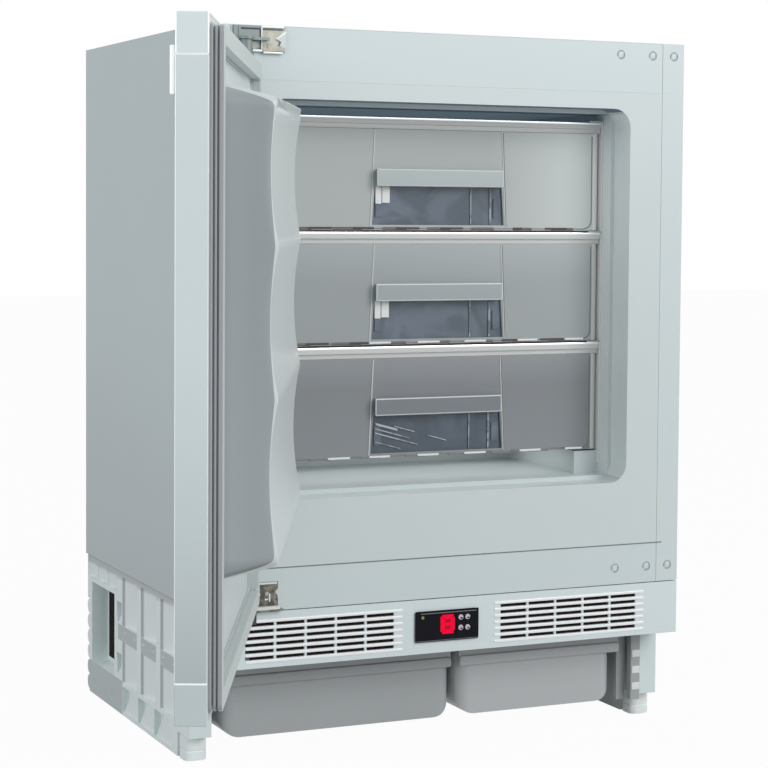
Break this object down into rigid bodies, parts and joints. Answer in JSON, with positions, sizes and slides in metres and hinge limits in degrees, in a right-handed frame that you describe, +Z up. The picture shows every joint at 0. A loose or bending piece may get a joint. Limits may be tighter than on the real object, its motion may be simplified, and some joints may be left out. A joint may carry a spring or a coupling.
{
  "type": "undercounter freezer",
  "caption": "Built-under freezer with a hinged insulated door, pull-out drawers on evaporator shelves, a louvred plinth with a digital controller and a ribbed moulded base.",
  "frame": {"origin": "On the floor, in the middle of the cabinet's footprint", "axes": "+X to the right seen from the front, -Y towards the front, +Z up"},
  "size_m": [0.7932, 0.9471, 0.812],
  "materials": {
    "wrap_steel": "satin light grey paint",
    "plain_steel": "galvanised",
    "foam": "rigid foam",
    "liner_plastic": "smooth moulded, semi-gloss",
    "strip_plastic": "smooth moulded, semi-gloss",
    "shelf_plastic": "satin",
    "evaporator_metal": "dull",
    "clip_metal": "dull",
    "base_plastic": "fine moulded grain",
    "plinth_plastic": "smooth moulded, semi-gloss",
    "bezel_plastic": "black, glossy",
    "tray_plastic": "satin mid grey",
    "hinge_metal": "zinc plated",
    "pin_steel": "plain",
    "black_paint": "semi-gloss black paint",
    "rubber": "matte",
    "black_plastic": "matte",
    "copper": "dull copper",
    "door_skin": "satin white paint",
    "cap_plastic": "satin",
    "gasket_rubber": "soft, matte",
    "drawer_frosted": "frosted translucent",
    "handle_plastic": "semi-gloss",
    "window_clear": "clear plastic pane",
    "button_plastic": "satin",
    "foot_plastic": "satin",
    "display_light": "lit red segments"
  },
  "bodies": {
    "cabinet": {"outer_shell": "wrap_steel", "back_panel": "plain_steel", "bottom_pan": "plain_steel", "cabinet_foam": "foam", "inner_liner": "liner_plastic", "top_strip": "strip_plastic", "bottom_strip": "strip_plastic", "screw_caps": "strip_plastic", "shelf_brackets": "shelf_plastic", "evaporator": "evaporator_metal", "shelf_trims": "shelf_plastic", "shelf_clips": "clip_metal", "base_frame": "base_plastic", "plinth_panel": "plinth_plastic", "controller_bezel": "bezel_plastic", "controller_display": "display_light", "toe_tray_left": "tray_plastic", "toe_tray_right": "tray_plastic", "top_hinge_bracket": "hinge_metal", "bottom_hinge_bracket": "hinge_metal", "hinge_pins": "pin_steel", "hinge_screws": "pin_steel", "compressor_tray": "plain_steel", "compressor": "black_paint", "compressor_grommets": "rubber", "terminal_box": "black_plastic", "condenser_coil": "black_paint", "fan_motor": "black_plastic", "refrigerant_pipes": "copper", "filter_drier": "copper", "power_inlet": "black_plastic"},
    "fan": {"fan_blades": "black_plastic"},
    "door": {"door_shell": "door_skin", "door_foam": "foam", "door_liner": "liner_plastic", "door_gasket": "gasket_rubber", "door_cap_top": "cap_plastic", "door_cap_bottom": "cap_plastic", "door_clip": "cap_plastic", "door_hinge_plates": "hinge_metal"},
    "drawer_top": {"basket_top": "drawer_frosted", "front_top": "drawer_frosted", "handle_top": "handle_plastic", "window_top": "window_clear"},
    "drawer_middle": {"basket_middle": "drawer_frosted", "front_middle": "drawer_frosted", "handle_middle": "handle_plastic", "window_middle": "window_clear"},
    "drawer_lower": {"basket_lower": "drawer_frosted", "front_lower": "drawer_frosted", "handle_lower": "handle_plastic", "window_lower": "window_clear"},
    "push_button_1": {"button_1": "button_plastic"},
    "push_button_2": {"button_2": "button_plastic"},
    "push_button_3": {"button_3": "button_plastic"},
    "push_button_4": {"button_4": "button_plastic"},
    "level_foot_left": {"foot_left": "foot_plastic"},
    "level_foot_right": {"foot_right": "foot_plastic"}
  },
  "joints": [
    {"name": "door_hinge", "type": "hinge", "parent": "cabinet", "child": "door", "pos_m": [-0.25816, -0.24482, 0.4785], "axis": [0, 0, -1], "range_deg": [-114.2, 5.8]},
    {"name": "drawer_top_slide", "type": "slide", "parent": "cabinet", "child": "drawer_top", "axis": [0, -1, 0], "range_m": [0, 0.26]},
    {"name": "drawer_middle_slide", "type": "slide", "parent": "cabinet", "child": "drawer_middle", "axis": [0, -1, 0], "range_m": [0, 0.26]},
    {"name": "drawer_lower_slide", "type": "slide", "parent": "cabinet", "child": "drawer_lower", "axis": [0, -1, 0], "range_m": [0, 0.26]},
    {"name": "push_button_1_press", "type": "slide", "parent": "cabinet", "child": "push_button_1", "axis": [0, 1, 0], "range_m": [0, 0.001], "stiffness_N_per_m": 400, "springref_m": -0.0005},
    {"name": "push_button_2_press", "type": "slide", "parent": "cabinet", "child": "push_button_2", "axis": [0, 1, 0], "range_m": [0, 0.001], "stiffness_N_per_m": 400, "springref_m": -0.0005},
    {"name": "push_button_3_press", "type": "slide", "parent": "cabinet", "child": "push_button_3", "axis": [0, 1, 0], "range_m": [0, 0.001], "stiffness_N_per_m": 400, "springref_m": -0.0005},
    {"name": "push_button_4_press", "type": "slide", "parent": "cabinet", "child": "push_button_4", "axis": [0, 1, 0], "range_m": [0, 0.001], "stiffness_N_per_m": 400, "springref_m": -0.0005},
    {"name": "level_foot_left_height", "type": "slide", "parent": "cabinet", "child": "level_foot_left", "axis": [0, 0, -1], "range_m": [0, 0.04]},
    {"name": "level_foot_right_height", "type": "slide", "parent": "cabinet", "child": "level_foot_right", "axis": [0, 0, -1], "range_m": [0, 0.04]},
    {"name": "fan_spin", "type": "hinge", "parent": "cabinet", "child": "fan", "pos_m": [-0.034, 0.1305, 0.095], "axis": [1, 0, 0], "continuous": true}
  ]
}
